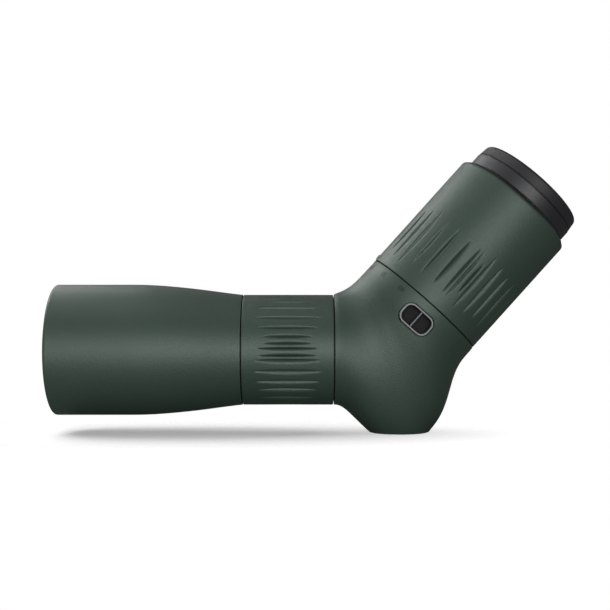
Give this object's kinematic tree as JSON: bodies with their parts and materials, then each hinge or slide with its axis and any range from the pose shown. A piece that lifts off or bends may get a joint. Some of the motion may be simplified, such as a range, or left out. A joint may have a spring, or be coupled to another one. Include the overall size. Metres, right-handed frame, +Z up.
{
  "type": "spotting scope",
  "caption": "Angled spotting scope with rubber armour, a focus ring on the body, a zoom ring round the inclined eyepiece, a twist-up eyecup, strap lugs and a threaded tripod foot.",
  "frame": {"origin": "centre of the tripod socket's mouth, in the flat face of the foot", "axes": "+Z up, +X from the objective towards the eyepiece along the body, +Y to the right of someone looking through the scope"},
  "size_m": [0.2539, 0.064, 0.1398],
  "materials": {
    "armour_green": "fine-grained matt green-black rubber",
    "eyecup_black": "smooth satin black rubber",
    "seal_black": "matt black nitrile",
    "anodised_black": "matt black anodised",
    "cast_metal": "black painted magnesium casting",
    "gloss_trim": "polished black",
    "optical_glass": "coated optical glass",
    "prism_glass": "polished, ground at the edges",
    "bright_trim": "satin bright metal",
    "steel": "plain machined",
    "lug_black": "matt black moulding",
    "sleeve_black": "matt black acetal"
  },
  "bodies": {
    "chassis": {"front_tube": "anodised_black", "front_armour": "armour_green", "objective_rear_lens": "optical_glass", "objective_spacer": "anodised_black", "objective_front_lens": "optical_glass", "objective_seal": "seal_black", "objective_retaining_ring": "anodised_black", "light_baffles": "anodised_black", "centre_tube": "anodised_black", "focus_seals": "seal_black", "prism_housing": "cast_metal", "housing_armour": "armour_green", "purge_screw": "steel", "foot_plate": "anodised_black", "foot_screws": "steel", "tripod_thread_insert": "steel", "prism": "prism_glass", "prism_bracket": "anodised_black", "prism_clamp": "steel", "prism_screws": "steel", "strap_lug_rim_right": "bright_trim", "strap_lug_cup_right": "lug_black", "strap_lug_bar_right": "bright_trim", "strap_lug_rim_left": "bright_trim", "strap_lug_cup_left": "lug_black", "strap_lug_bar_left": "bright_trim", "eyepiece_barrel": "anodised_black", "eyepiece_screws": "steel", "field_stop": "anodised_black", "eyepiece_head": "anodised_black", "eyepiece_collar": "gloss_trim", "zoom_seals": "seal_black", "eye_lens_cell": "anodised_black", "inner_eye_lens": "optical_glass", "eye_lens": "optical_glass", "eye_lens_retainer": "anodised_black"},
    "focus_ring": {"focus_ring": "anodised_black", "focus_grip": "armour_green"},
    "focus_carriage": {"focus_lens_cell": "anodised_black", "focus_lens": "optical_glass", "focus_lens_retainer": "anodised_black", "focus_follower_pin": "steel"},
    "zoom_ring": {"zoom_sleeve": "anodised_black", "zoom_cam_barrel": "anodised_black", "zoom_drive_screws": "steel", "zoom_grip": "armour_green"},
    "zoom_front_group": {"zoom_front_cell": "anodised_black", "zoom_front_lens": "optical_glass", "zoom_front_pin": "steel"},
    "zoom_rear_group": {"zoom_rear_cell": "anodised_black", "zoom_rear_lens": "optical_glass", "zoom_rear_pin": "steel"},
    "eyecup_guide": {"eyecup_guide_ring": "sleeve_black"},
    "eyecup": {"eyecup_sleeve": "sleeve_black", "eyecup_keeper_ring": "sleeve_black", "eyecup_pin": "steel", "eyecup_band": "eyecup_black", "eyecup_rim": "eyecup_black"}
  },
  "joints": [
    {"name": "focus_turn", "type": "hinge", "parent": "chassis", "child": "focus_ring", "pos_m": [-0.053, 0, 0.0403], "axis": [1, 0, 0], "range_deg": [0, 540]},
    {"name": "focus_travel", "type": "slide", "parent": "chassis", "child": "focus_carriage", "axis": [1, 0, 0], "range_m": [0, 0.01201]},
    {"name": "zoom_turn", "type": "hinge", "parent": "chassis", "child": "zoom_ring", "pos_m": [0.01328, 0, 0.06282], "axis": [0.6691, 0, 0.7431], "range_deg": [-51.2, 62.6]},
    {"name": "zoom_front_travel", "type": "slide", "parent": "chassis", "child": "zoom_front_group", "axis": [0.6691, 0, 0.7431], "range_m": [-0.00359, 0.00439]},
    {"name": "zoom_rear_travel", "type": "slide", "parent": "chassis", "child": "zoom_rear_group", "axis": [0.6691, 0, 0.7431], "range_m": [-0.00551, 0.00451]},
    {"name": "eyecup_rise", "type": "slide", "parent": "chassis", "child": "eyecup_guide", "axis": [0.6691, 0, 0.7431], "range_m": [0, 0.00751]},
    {"name": "eyecup_twist", "type": "hinge", "parent": "eyecup_guide", "child": "eyecup", "pos_m": [0.05677, 0, 0.11112], "axis": [0.6691, 0, 0.7431], "range_deg": [0, 180]}
  ],
  "couplings": [
    {"joint": "focus_travel", "follows": "focus_turn", "m_per_rad": 0.0012732},
    {"joint": "zoom_front_travel", "follows": "zoom_turn", "m_per_rad": 0.0040107},
    {"joint": "zoom_rear_travel", "follows": "zoom_turn", "m_per_rad": -0.005042},
    {"joint": "eyecup_rise", "follows": "eyecup_twist", "m_per_rad": 0.0023873}
  ]
}
